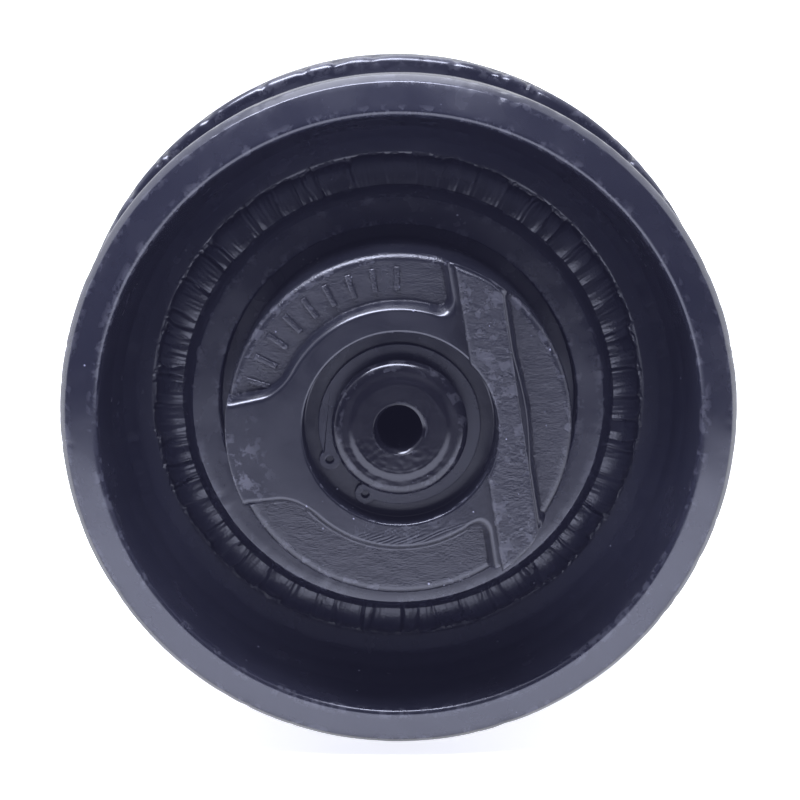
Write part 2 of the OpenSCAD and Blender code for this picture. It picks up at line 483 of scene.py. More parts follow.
@dataclass(frozen=True)
class BlueBlackEnamel:
    """Sprayed satin enamel, blue-black: a dark body colour under soft, cool reflections.

    Attributes:
        name: Material name.
        ground: What the paint covers, which shows through as relief.
        colour: Body colour.
        thin_colour: Colour where the paint is thin, on edges.
        dust_colour: Colour of dust and specks.
        roughness: Mean roughness.
        peel_mm: Size of the paint's orange peel.
        mark_mm: Spacing of turning marks, or size of cast grain, drawn coarse enough to show.
        relief_mm: Height of those marks.
        speck_mm: Mean distance between dust specks.
        rub: How much the thin paint's colour shows on rubbed edges.
        ior: Refractive index of the paint.
    """

    name: str
    ground: Ground
    colour: str = "161723"
    thin_colour: str = "6f7080"
    dust_colour: str = "74758a"
    roughness: float = 0.21
    peel_mm: float = 1.6
    mark_mm: float = 0.9
    relief_mm: float = 0.008
    speck_mm: float = 7.0
    rub: float = 0.14
    ior: float = 1.52

    def material(self) -> bpy.types.Material:
        """Builds the node material.

        Returns:
            The material.
        """
        made, tree = blank_material(self.name)
        place, axes, radius = axle_places(tree)
        turn = put(tree, "Math", {0: axes.outputs["Z"], 1: axes.outputs["X"]}, operation="ARCTAN2")
        # Turning marks: noise that is fine along radius and axis and long round the axle.
        slow = put(tree, "Math", {0: turn, 1: 0.004}, operation="MULTIPLY")
        ringwise = put(tree, "CombineXYZ", {"X": radius, "Y": axes.outputs["Y"], "Z": slow})
        rings, grain, peel, cloud, crisp = (
            put(tree, "TexNoise", {"Vector": where, "Scale": 1.0 / (mm * MM), "Detail": detail, "Roughness": rough})
            for where, mm, detail, rough in (
                (ringwise, self.mark_mm, 2.0, 0.6), (place, self.mark_mm, 3.0, 0.55), (place, self.peel_mm, 1.0, 0.5),
                (place, 24.0, 4.0, 0.62), (place, 5.0, 6.0, 0.7)))
        cast, wear = (put(tree, "Attribute", attribute_name=key).outputs["Fac"] for key in ("cast", "wear"))
        if self.ground is Ground.TURNED:
            relief = rings
        elif self.ground is Ground.CAST:
            low = put(tree, "Math", {0: rings, 1: 0.05}, operation="MULTIPLY")
            relief = put(tree, "Mix", {"Factor": cast, "A": low, "B": grain})
        else:
            relief = grain
        bump = put(tree, "Bump", {"Height": relief, "Strength": 1.0, "Distance": self.relief_mm * MM})
        bump = put(tree, "Bump", {"Height": peel, "Strength": 1.0, "Distance": 0.012 * MM, "Normal": bump})
        # Specks are the middles of scattered cells, a third of a millimetre across, with
        # fainter dust between them.
        speck = 0.0
        for mm, least, widest, weight in ((self.speck_mm, 0.55, 0.38 / self.speck_mm, 1.0), (2.3, 0.5, 0.075, 0.45)):
            cells = put(tree, "TexVoronoi", {"Vector": place, "Scale": 1.0 / (mm * MM)})
            shade = put(tree, "SeparateColor", {0: cells.outputs["Color"]})
            reach = put(tree, "MapRange", {0: shade, 1: least, 2: 1.0, 3: 0.0, 4: widest})
            spot = put(tree, "Math", {0: cells.outputs["Distance"], 1: reach}, operation="LESS_THAN")
            spot = put(tree, "Math", {0: spot, 1: weight}, operation="MULTIPLY")
            speck = put(tree, "Math", {0: spot, 1: speck}, operation="MAXIMUM")
        # Thin paint on outside edges, broken up by a crisp noise.
        broken = put(tree, "MapRange", {0: crisp, 1: 0.52, 2: 0.58})
        thin = put(tree, "Math", {0: wear, 1: broken}, operation="MULTIPLY")
        thin = put(tree, "Math", {0: thin, 1: self.rub}, operation="MULTIPLY")
        haze = put(tree, "MapRange", {0: cloud, 1: 0.3, 2: 0.8, 3: 0.0, 4: 0.03})
        body = linear(self.colour)
        for share, over in ((haze, self.thin_colour), (thin, self.thin_colour), (speck, self.dust_colour)):
            body = put(tree, "Mix", {"Factor": share, 6: body, 7: linear(over)}, data_type="RGBA").outputs[2]
        dull = put(tree, "MapRange", {0: cloud, 1: 0.25, 2: 0.8, 3: self.roughness - 0.06, 4: self.roughness + 0.12})
        paint = put(tree, "BsdfPrincipled", {"Base Color": body, "Roughness": dull, "Normal": bump,
                                             "IOR": self.ior, "Specular Tint": (0.80, 0.82, 1.0, 1.0)})
        put(tree, "OutputMaterial", {"Surface": paint})
        return made


@dataclass(frozen=True)
class PlainStock:
    """Bare stock inside the roller: bronze, lapped iron, turned steel or nitrile rubber.

    Attributes:
        name: Material name.
        colour: Surface colour.
        metallic: 1 for metal, 0 for rubber.
        roughness: Mean roughness.
        mark_mm: Spacing of the turning or moulding marks.
        relief_mm: Their height.
    """

    name: str
    colour: str
    metallic: float
    roughness: float
    mark_mm: float = 0.4
    relief_mm: float = 0.006

    def material(self) -> bpy.types.Material:
        """Builds the node material: fine rings round the axle over an even colour.

        Returns:
            The material.
        """
        made, tree = blank_material(self.name)
        place, axes, radius = axle_places(tree)
        ringwise = put(tree, "CombineXYZ", {"X": radius, "Y": axes.outputs["Y"]})
        rings = put(tree, "TexNoise", {"Vector": ringwise, "Scale": 1.0 / (self.mark_mm * MM), "Detail": 2.0})
        cloud = put(tree, "TexNoise", {"Vector": place, "Scale": 1.0 / (9.0 * MM), "Detail": 3.0})
        bump = put(tree, "Bump", {"Height": rings, "Strength": 1.0, "Distance": self.relief_mm * MM})
        dull = put(tree, "MapRange", {0: cloud, 3: self.roughness - 0.05, 4: self.roughness + 0.1})
        colour = linear(self.colour)
        darker = (*[c * 0.8 for c in colour[:3]], 1.0)
        body = put(tree, "Mix", {"Factor": cloud, 6: colour, 7: darker}, data_type="RGBA").outputs[2]
        stock = put(tree, "BsdfPrincipled", {"Base Color": body, "Metallic": self.metallic,
                                             "Roughness": dull, "Normal": bump})
        put(tree, "OutputMaterial", {"Surface": stock})
        return made


class Finishes:
    """The roller's finishes, built once each and shared by its pieces."""

    def __init__(self) -> None:
        """Builds every material."""
        self.turned = BlueBlackEnamel("enamel_on_turned_steel", Ground.TURNED).material()
        # The shaft's smoother paint looks glossier; its darker body colour is painted shade, standing in for the dark
        # room that its glossy end face reflects.
        self.shaft = BlueBlackEnamel("enamel_on_ground_shaft", Ground.TURNED, colour="0a0a11", roughness=0.13,
                                     rub=0.1, ior=1.42).material()
        # Sand grain of half a millimetre, blunted by the paint.
        self.cast = BlueBlackEnamel("enamel_on_cast_iron", Ground.CAST, colour="11121b", roughness=0.21, mark_mm=0.55,
                                    relief_mm=0.17, speck_mm=5.0, rub=0.28).material()
        self.weld = BlueBlackEnamel("enamel_on_weld", Ground.WELDED, roughness=0.28, mark_mm=0.8,
                                    relief_mm=0.12).material()
        self.spring = BlueBlackEnamel("enamel_on_spring_steel", Ground.SPRING, roughness=0.26,
                                      mark_mm=0.7).material()
        self.rubber = PlainStock("nitrile_rubber", "18181a", 0.0, 0.6).material()
        self.iron = PlainStock("lapped_hard_iron", "8f9092", 1.0, 0.22).material()
        self.bronze = PlainStock("turned_bronze", "b08a4e", 1.0, 0.3).material()
        self.steel = PlainStock("turned_steel", "a3a4a6", 1.0, 0.32).material()


# --------------------------------------------------------------------- the shell


def edge_nicks(count: int, depth: float, seed: int, beyond: float) -> Push:
    """Dents along the outside edges of a turned piece.

    Each dent is a Gaussian in the angle round the axle, times how far the point lies on
    an outside edge. The rest of the surface only waves by a few hundredths.

    Args:
        count: Number of dents round the piece.
        depth: Depth of the deepest in millimetres.
        seed: Seed of their places, widths and depths.
        beyond: Radius in millimetres inside which there are none.

    Returns:
        A function that gives the offset along the normal.
    """
    rng = np.random.default_rng(seed)
    where = rng.uniform(0, 2 * np.pi, count)
    width = rng.uniform(0.004, 0.022, count)
    deep = depth * rng.uniform(0.15, 1.0, count) ** 2

    def push(places: np.ndarray, turn: np.ndarray, wear: np.ndarray) -> np.ndarray:
        """Offset of each grid point.

        Args:
            places: Points in millimetres.
            turn: Angle round the axle of each row.
            wear: How far each point lies on an outside edge.

        Returns:
            The offset in millimetres.
        """
        gap = (turn - where[None, :] + np.pi) % (2 * np.pi) - np.pi
        dents = (deep * np.exp(-((gap / width) ** 2))).sum(1)[:, None]
        dents = dents * (np.hypot(places[..., 0], places[..., 2]) > beyond)
        return 0.03 * ripple_field(places, 22.0, seed + 5, 12) - dents * wear * 0.8
    return push


@dataclass
class FlangedShell:
    """Hub tube with two bell-shaped outer flanges, a centre flange and their welds.

    Sizes are in millimetres: radii, and distances from the mid-plane.
    """

    finishes: Finishes
    hub_r: float = 76.0
    hub_t: float = 58.5
    hub_end_r: float = 72.0
    mouth_r: float = 62.5
    flange_r: float = 115.0
    rim_t: float = 89.0
    rim_w: float = 24.0
    lip_r: float = 101.5
    lip_h: float = 4.0
    centre_r: float = 119.5
    centre_half_w: float = 13.5
    web_t: float = 47.0

    def bell(self, end: End) -> bpy.types.Object:
        """One outer flange: web, flared wall, running rim, bevel and raised lip.

        Args:
            end: End of the roller.

        Returns:
            The piece.
        """
        r, rim = self.flange_r, self.rim_t
        corners = [(self.hub_r, 33, 0), (self.hub_r + 13, 33, 5), (r - 10, 50, 16), (r - 2.6, rim - self.rim_w - 2, 7),
                   (r, rim - self.rim_w + 1, 2), (r, rim - 4, 5), (r - 2.3, rim - 0.1, 1.0),
                   (self.lip_r, rim + self.lip_h, 1.8),
                   (self.lip_r - 2.2, 68, 12), (self.lip_r - 5, 56, 8), (self.lip_r - 9, 50, 5),
                   (self.hub_r + 11, self.web_t, 3), (self.hub_r, self.web_t, 0)]
        steps, seed = (NEAR_STEPS, 11) if end is End.FRONT else (FAR_STEPS, 12)
        patch = turned_patch(corners, end.value, steps, 2.2, push=edge_nicks(70, 0.35, seed, r - 5))
        name = f"outer_flange_{end.tag}"
        return make_piece(f"bell_{end.tag}", [patch], self.finishes.turned, SHELL, [name])

    def disc(self) -> bpy.types.Object:
        """The centre flange: a thick disc with a wide rounded rim.

        Returns:
            The piece.
        """
        r, w, root = self.centre_r, self.centre_half_w, self.hub_r
        corners = [(root, -17, 0), (root + 10, -17, 5), (r - 6, -w, 3), (r, -w, 3), (r, w, 3), (r - 6, w, 3),
                   (root + 10, 17, 5), (root, 17, 0)]
        patch = turned_patch(corners, -1.0, NEAR_STEPS, 2.4, push=edge_nicks(150, 1.3, 21, r - 8))
        return make_piece("centre_disc", [patch], self.finishes.turned, SHELL, ["centre_flange"])

    def tube(self) -> bpy.types.Object:
        """The hub tube, with a chamfered nose, a mouth and a seal cavity at each end.

        Returns:
            The piece.
        """
        half = [(self.hub_r, self.hub_t - 6, 1.0), (self.hub_end_r, self.hub_t, 0.7), (self.mouth_r, self.hub_t, 0.7),
                (self.mouth_r, 49, 0.5), (53, 49, 0.8), (53, 36, 0.5), (36.05, 36, 0.4), (36.05, 16, 0.4), (60, 16, 1)]
        corners = half + [(r, -t, k) for r, t, k in reversed(half)]
        patch = turned_patch(corners, -1.0, 400, 3.0, push=edge_nicks(30, 0.2, 31, self.hub_end_r - 1))
        return make_piece("hub", [patch], self.finishes.turned, SHELL, ["hub_tube"])

    def bead(self, name: str, node: str, foot: float, side: float, legs: tuple[float, float], pitch: float,
             seed: int, outer: bool) -> bpy.types.Object:
        """A hand-laid fillet weld: a quarter ellipse whose legs swell and shrink round the tube.

        Droplets of uneven width follow each other round the tube. Their boundaries are
        narrow creases with a raised lip, which lean and wander across the bead, and each
        droplet has its own reach and height. Over them run fine ripples that are long
        across the bead and short along it.

        Args:
            name: Name of the piece.
            node: Node of the frame that it stands for.
            foot: Distance of the web's face from the mid-plane.
            side: -1 for the front half, 1 for the rear half.
            legs: Reach along the tube and along the web.
            pitch: Mean width of a droplet.
            seed: Seed of the droplets.
            outer: Whether a thin skirt runs out over the web.

        Returns:
            The piece.
        """
        rng = np.random.default_rng(seed)
        seam_r = self.hub_r + 5  # Mean radius of the bead.
        count = int(2 * np.pi * seam_r / pitch)
        gaps = rng.uniform(0.3, 1.7, count)
        bounds = np.cumsum(gaps) / gaps.sum() * 2 * np.pi
        turn = np.linspace(0, 2 * np.pi, 1440, endpoint=False)
        owner = np.searchsorted(bounds, turn) % count
        phi = np.linspace(0, np.pi / 2, 30)
        lean = rng.uniform(-1.2, 1.2, count)
        skew = lean[:, None] * phi + 0.35 * np.sin(4.0 * phi + rng.uniform(0, 6, count)[:, None])
        away = np.full((len(turn), len(phi)), 99.0)
        nearest = np.zeros(away.shape, int)
        for number in range(count):
            gap = (turn - bounds[number] + np.pi) % (2 * np.pi) - np.pi
            off = np.abs(gap[:, None] * seam_r - skew[number])
            nearest = np.where(off < away, number, nearest)
            away = np.minimum(off, away)
        strong = rng.uniform(0.1, 1.0, count) ** 1.5
        crease = (np.exp(-((away / 0.42) ** 2)) - 0.55 * np.exp(-(((away - 0.85) / 0.45) ** 2))) * strong[nearest]
        dome = 1.0 - np.exp(-away.min(1) / 1.6)
        swell = 1 + 0.05 * np.cos(turn * 5 + 1) + 0.04 * np.cos(turn * 13 + 2)
        reach = rng.uniform(0.93, 1.06, count)[owner]
        high = rng.uniform(0.90, 1.08, count)[owner]
        leg_t = (legs[0] * (0.90 + 0.10 * dome) * high * swell)[:, None]
        leg_r = (legs[1] * (0.96 + 0.04 * dome) * reach)[:, None]
        radius = self.hub_r - 0.5 + leg_r * np.sin(phi)
        along = foot - 0.5 + leg_t * np.cos(phi)
        streak = np.stack(np.broadcast_arrays(turn[:, None] * seam_r, 0.12 * radius, 0 * along), -1)
        fine = 0.04 * ripple_field(streak, 1.3, seed + 1) + 0.045 * ripple_field(streak, 3.4, seed + 2)
        fine = fine - 0.62 * crease
        radius = radius + fine * np.sin(phi)
        along = along + fine * np.cos(phi)
        if outer:
            # A thin skirt of spatter and ripple ends that runs out over the web.
            run = np.linspace(0.12, 1.0, 8)
            low = 0.22 + 0.40 * np.abs(crease[:, -1:])
            along = np.logaddexp(along * 4, (foot + 0.8 * low) * 4) / 4
            skirt_r = radius[:, -1:] + (4.6 * rng.uniform(0.5, 1.0, count)[owner])[:, None] * run
            lumps = ripple_field(carry_round(skirt_r, 0 * skirt_r, turn[:, None], side), 2.4, seed + 3)
            skirt_t = foot + low * (1 - run) * (1.0 + 0.6 * lumps) - 0.454 * run
            radius, along = np.concatenate([radius, skirt_r], 1), np.concatenate([along, skirt_t], 1)
        radius = np.concatenate([radius, np.full((len(turn), 1), self.hub_r - 0.5)], 1)
        along = np.concatenate([along, np.full((len(turn), 1), foot - 0.6)], 1)
        bead = Patch(carry_round(radius, along, turn[:, None], side))
        return make_piece(name, [bead], self.finishes.weld, SHELL, [node], sharp=70.0)

    def build(self) -> list[bpy.types.Object]:
        """Builds the whole shell.

        Returns:
            Its pieces.
        """
        pieces = [self.tube(), self.disc()]
        for end, bell_seed, disc_seed in ((End.FRONT, 41, 43), (End.REAR, 42, 44)):
            pieces.append(self.bell(end))
            pieces.append(self.bead(f"bell_weld_{end.tag}", f"flange_weld_{end.tag}", self.web_t, end.value,
                                    (6.0, 10.6), 7.5, bell_seed, True))
            pieces.append(self.bead(f"disc_weld_{end.tag}", f"centre_weld_{end.tag}", 17.0, end.value,
                                    (6.6, 6.6), 7.0, disc_seed, False))
        return pieces


# --------------------------------------------------------------------- the fixed axle


@dataclass
class EndCollar:
    """Cast collar: machined seat with a spoke, a key bar, two as-cast pockets.

    Plan coordinates have the key bar towards +x; the whole plan is turned by key_angle
    about the axle. Heights are distances from the mid-plane, in millimetres.
    """

    finishes: Finishes
    radius: float = 57.5
    seat_r: float = 39.5
    counterbore_r: float = 32.0
    bore_r: float = 22.5
    seat_t: float = 110.5
    cast_t: float = 103.5
    floor_t: float = 100.0
    key_t: float = 118.5
    key_near: float = 26.0
    key_w: float = 14.0
    spoke_half: float = 16.0
    fillet: float = 7.0
    key_angle: float = 9.0

    def seat_distance(self, x: np.ndarray, y: np.ndarray) -> np.ndarray:
        """Distance outside the machined seat, negative inside it.

        The seat is the union of a disc, a spoke and the strip under the key bar, joined
        with circular fillets: beyond the fillet radius the smaller distance holds, and
        nearer it is the radius less the length of both shortfalls.

        Args:
            x: Plan coordinate towards the key bar.
            y: Plan coordinate along it.

        Returns:
            The distance in millimetres.
        """
        def join(a: np.ndarray, b: np.ndarray) -> np.ndarray:
            """Joins two distances with a circular fillet."""
            short = np.hypot(np.maximum(self.fillet - a, 0), np.maximum(self.fillet - b, 0))
            return np.maximum(self.fillet, np.minimum(a, b)) - short
        disc = np.hypot(x, y) - self.seat_r
        spoke = np.maximum(np.abs(y) - self.spoke_half - 0.06 * (x + 57), x)
        strip = np.abs(x - self.key_near - self.key_w / 2 + 0.75) - self.key_w / 2 - 0.75
        return join(join(disc, spoke), strip)

    def face(self, x: np.ndarray, y: np.ndarray) -> tuple[np.ndarray, np.ndarray]:
        """The collar's face without its key bar.

        From the seat, the wall drops on one round, as a superellipse does, to a tight foot.

        Args:
            x: Plan coordinate towards the key bar.
            y: Plan coordinate along it.

        Returns:
            Its height, and how far it is as cast, 0 to 1.
        """
        share = np.clip((self.seat_distance(x, y) + 0.6) / 2.9, 0.0, 1.0)
        as_cast = 1.0 - (1.0 - share**2) ** 0.6
        plan = np.stack([x, y, np.zeros_like(x)], -1)
        sand = 0.012 * ripple_field(plan, 1.3, 61) + 0.014 * ripple_field(plan, 5.0, 62)
        # Tool chatter on the seat, below the counterbore: slanting ridges in a soft patch.
        across = 0.97 * y - 0.22 * x + 0.12 * ripple_field(plan, 7.0, 63)
        patch = np.exp(-(((x + 4) / 15.0) ** 2) - ((y + 35.5) / 3.6) ** 2) * (1 - as_cast)
        streaks = np.sin(2 * np.pi * across / 1.1) + 0.8 * np.sin(2 * np.pi * across / 0.73 + 1)
        chatter = 0.028 * streaks * patch
        height = self.seat_t + (self.cast_t - self.seat_t) * as_cast + sand * as_cast + chatter
        return height, as_cast

    def scuff(self, x: np.ndarray, y: np.ndarray) -> np.ndarray:
        """How far the paint is rubbed: most at the spoke's outer end, some below the counterbore.

        Args:
            x: Plan coordinate towards the key bar.
            y: Plan coordinate along it.

        Returns:
            The wear, 0 to 1.
        """
        spoke = np.exp(-(((x + 54) / 7.0) ** 2) - ((y + 6) / 15.0) ** 2)
        low = 0.5 * np.exp(-(((x + 4) / 17.0) ** 2) - ((y + 35) / 5.0) ** 2)
        return np.maximum(spoke, low)

    def body(self, end: End) -> Patch:
        """The collar without its key bar.

        Each row goes once round the axle, at its own radius, height, cast mark and wear. The
        rows run from the bore's back, round the outside and over the face, to the bore.

        Args:
            end: End of the roller.

        Returns:
            The grid.
        """
        steps = NEAR_STEPS if end is End.FRONT else FAR_STEPS
        turn = np.linspace(0, 2 * np.pi, steps, endpoint=False)[:, None]
        own = turn - math.radians(self.key_angle)
        rim, bore, floor = self.counterbore_r, self.bore_r, self.floor_t
        edge_t, edge_cast = self.face((self.radius - 1.5) * np.cos(own), (self.radius - 1.5) * np.sin(own))
        round_r = 0.6 + 1.9 * edge_cast
        start = self.radius - round_r
        rows = [(r, t, 1.0, 0.0) for r, t in (
            (bore, 40.5), (30, 40.5), (37.6, 40.5), (38, 40.9), (38, 50), (38, 59), (45, 59), (53, 59), (53, 54),
            (53, 49.9), (53.3, 49.6), (57.1, 49.6), (57.5, 50.0))]
        rows += [(self.radius, 50.0 + (edge_t - round_r - 50.0) * f, 1.0, 0.0) for f in np.linspace(0.08, 1.0, 14)]
        rows += [(start + round_r * np.cos(phi), edge_t - round_r + round_r * np.sin(phi), edge_cast, 0.6)
                 for phi in np.radians(np.arange(15, 91, 15))]
        for share in (*np.linspace(0.03, 0.62, 34), *np.linspace(0.63, 0.82, 22), *np.linspace(0.84, 1.0, 8)):
            r = start + (rim + 0.4 - start) * share
            x, y = r * np.cos(own), r * np.sin(own)
            rows.append((r, *self.face(x, y), self.scuff(x, y)))
        face_t, _ = self.face(rim * np.cos(own), rim * np.sin(own))
        rows.append((rim, face_t - 0.4, 0.0, 1.0))
        rows += [(r, t, 0.0, 0.0) for r, t in (
            (rim, face_t - 3), (rim, face_t - 6), (rim, floor + 0.4), (rim - 0.4, floor), (rim - 0.8, floor),
            (27.0, floor), (bore, floor), (bore, 80.0), (bore, 60.0))]
        radius, along, cast, wear = (np.concatenate([np.broadcast_to(row[k], (steps, 1)) for row in rows], 1)
                                     for k in range(4))
        return Patch(carry_round(radius, along, turn, end.value), marks={"cast": cast, "wear": wear})

    def key_plan(self, u: np.ndarray, v: np.ndarray) -> tuple[np.ndarray, np.ndarray]:
        """Plan of the key bar.

        The ends lie on the collar's edge. The near side is straight except where the
        counterbore's circle cuts into it.

        Args:
            u: Place along the bar, -1 to 1.
            v: Place across it, -1 to 1.

        Returns:
            Plan x and y in millimetres.
        """
        share = (v + 1) / 2
        reach = np.sqrt(self.radius**2 - (self.key_near + self.key_w * share) ** 2)
        reach = reach - 1.8 * np.maximum(0, (share - 0.75) / 0.25) ** 2 - 0.15
        y = u * reach
        near = np.sqrt(np.maximum(self.counterbore_r**2 - y**2, 0.0))
        near = np.maximum(self.key_near, near + 0.1)
        far = self.key_near + self.key_w
        return near + (far - near) * share, y

    def onto_axle(self, patch: Patch, end: End) -> Patch:
        """Turns a patch by the key angle and stands it on its end.

        Args:
            patch: Grid of plan x, plan y and height.
            end: End of the roller.

        Returns:
            The grid in the roller's own axes.
        """
        x, y, height = np.moveaxis(patch.points, -1, 0)
        a = math.radians(self.key_angle)
        across, up = x * math.cos(a) - y * math.sin(a), x * math.sin(a) + y * math.cos(a)
        return Patch(np.stack([across, end.value * height, up], -1), patch.wrap_v, patch.caps, patch.marks)

    def key_bar(self, end: End) -> Patch:
        """The raised bar across the collar, beside the shaft end."""
        bar = block_patch(self.key_plan, (98.0, self.key_w), self.floor_t + 1, self.key_t, 1.3, 0.04, 71, 0.55)
        return self.onto_axle(bar, end)

    def casting_marks(self, end: End) -> list[Patch]:
        """Nine plain raised bars in the upper pocket, all alike.

        Args:
            end: End of the roller.

        Returns:
            The bars.
        """
        patches = []
        for degrees in range(82, 155, 9):
            a = math.radians(degrees)
            middle = self.seat_r + 9.5

            def plan(u: np.ndarray, v: np.ndarray, a: float = a) -> tuple[np.ndarray, np.ndarray]:
                """A bar four millimetres either way along the radius."""
                r, s = middle + 4.0 * u, 0.95 * v
                return r * math.cos(a) - s * math.sin(a), r * math.sin(a) + s * math.cos(a)
            block = block_patch(plan, (8.0, 1.9), self.cast_t - 1.0, self.cast_t + 1.15, 0.5, 0.0, 80, 0.5)
            patches.append(self.onto_axle(block, end))
        return patches

    def build(self, end: End) -> bpy.types.Object:
        """Builds the collar at one end.

        Args:
            end: End of the roller.

        Returns:
            The piece.
        """
        patches = [self.body(end), self.key_bar(end), *self.casting_marks(end)]
        return make_piece(f"end_collar_{end.tag}", patches, self.finishes.cast, FIXED,
                          [f"collar_{end.tag}"], sharp=50.0)


@dataclass
class FixedAxle:
    """Stepped shaft with a retaining ring at each end; sizes in millimetres."""

    finishes: Finishes
    end_r: float = 22.5
    journal_r: float = 30.0
    end_t: float = 110.5
    shoulder_t: float = 40.5
    hole_r: float = 8.5
    hole_depth: float = 42.0
    groove_r: float = 21.25
    groove_t: float = 100.05
    groove_w: float = 1.85
    thread_pitch: float = 2.5

    def relief(self, places: np.ndarray, turn: np.ndarray, wear: np.ndarray) -> np.ndarray:
        """Offset of the shaft's skin: thread in the bolt holes, tool rings on the end faces.

        The thread is a triangle wave of depth along the axle less one pitch a turn. The
        end faces are a little hollow round the hole, with a soft step, and in the lower
        part of the step lie rings that are sines of the radius.

        Args:
            places: Points in millimetres.
            turn: Angle round the axle of each row.
            wear: How far each point lies on an outside edge; it plays no part here.

        Returns:
            The offset in millimetres.
        """
        radius = np.hypot(places[..., 0], places[..., 2])
        along = np.abs(places[..., 1])
        phase = (along / self.thread_pitch - turn / (2 * np.pi)) % 1.0
        inside = (np.abs(radius - self.hole_r) < 0.05) & (along < self.end_t - 1.2)
        deep = self.end_t - self.hole_depth + 2
        thread = -1.1 * (1 - np.abs(2 * phase - 1)) * inside * (along > deep)
        face = (along > self.end_t - 0.01) & (radius < self.end_r - 2.5)
        low = smooth_ramp(-np.sin(turn + 0.12), 0.25, 0.6)
        band = np.exp(-(((radius - 15.6) / 1.9) ** 2))
        hollow = -0.4 * (1 - smooth_ramp(radius, 15.4, 16.9)) * face
        rings = 0.05 * np.sin(radius * 6.0 + 0.8 * np.sin(turn * 3)) * band * low * face
        pits = 0.010 * ripple_field(places, 2.2, 91) * low * face
        return thread + hollow + rings + pits

    def shaft(self) -> bpy.types.Object:
        """The shaft in one outline, from the bottom of one bolt hole to the other.

        Returns:
            The piece.
        """
        half = [(0.0, self.end_t - self.hole_depth - 5.1, 0), (self.hole_r, self.end_t - self.hole_depth, 0),
                (self.hole_r, self.end_t, 0.35), (self.end_r, self.end_t, 3.0),
                (self.end_r, self.groove_t + self.groove_w, 0.2), (self.groove_r, self.groove_t + self.groove_w, 0.1),
                (self.groove_r, self.groove_t, 0.1), (self.end_r, self.groove_t, 0.2),
                (self.end_r, self.shoulder_t, 0), (self.journal_r, self.shoulder_t, 0.5)]
        corners = half + [(r, -t, k) for r, t, k in reversed(half)]
        # Fine only along the holes' walls and across the end faces, where the relief is.
        fine = {1: 0.42, 2: 0.6}
        gaps = [fine.get(min(i, len(corners) - 2 - i), 3.0) for i in range(len(corners))]
        patch = turned_patch(corners, -1.0, 216, gaps, closed=False, push=self.relief)
        return make_piece("axle_shaft", [patch], self.finishes.shaft, FIXED, ["shaft"])

    def ring(self, end: End) -> bpy.types.Object:
        """The stamped retaining ring with its edges broken.

        Args:
            end: End of the roller.

        Returns:
            The piece.
        """
        node = f"retaining_ring_{end.tag}"
        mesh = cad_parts[node].data.copy()
        mesh.name = f"snap_ring_{end.tag}"
        work = bmesh.new()
        work.from_mesh(mesh)
        bmesh.ops.remove_doubles(work, verts=work.verts, dist=MERGE)
        bmesh.ops.dissolve_limit(work, angle_limit=math.radians(1.0), verts=work.verts, edges=work.edges)
        work.to_mesh(mesh)
        work.free()
        mesh.materials.clear()
        mesh.materials.append(self.finishes.spring)
        piece = in_scene(mesh.name, mesh)
        soften = piece.modifiers.new("broken_edges", "BEVEL")
        soften.width = 0.22 * MM
        soften.segments = 2
        soften.limit_method = "ANGLE"
        soften.angle_limit = math.radians(50)
        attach(piece, FIXED)
        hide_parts(node)
        LOG.info("%s: from node %s", piece.name, node)
        return piece

    def build(self) -> list[bpy.types.Object]:
        """Builds the shaft and both rings."""
        return [self.shaft(), *[self.ring(end) for end in End]]


@dataclass
class SealsAndBearings:
    """Parts hidden inside the roller, which keep the frame's own shapes."""

    finishes: Finishes

    def dress(self) -> None:
        """Gives each inner node its finish."""
        finish_of = {"collar_o_ring": self.finishes.rubber, "fixed_toric": self.finishes.rubber,
                     "rotating_toric": self.finishes.rubber, "fixed_seal_ring": self.finishes.iron,
                     "rotating_seal_ring": self.finishes.iron, "bushing": self.finishes.bronze,
                     "oil_plug": self.finishes.steel}
        for node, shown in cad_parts.items():
            kind = node.removesuffix("_front").removesuffix("_rear")
            if kind in finish_of:
                for holder in shown.material_slots:
                    holder.material = finish_of[kind]
                LOG.info("%s: %s", node, finish_of[kind].name)


# --------------------------------------------------------------------- the studio


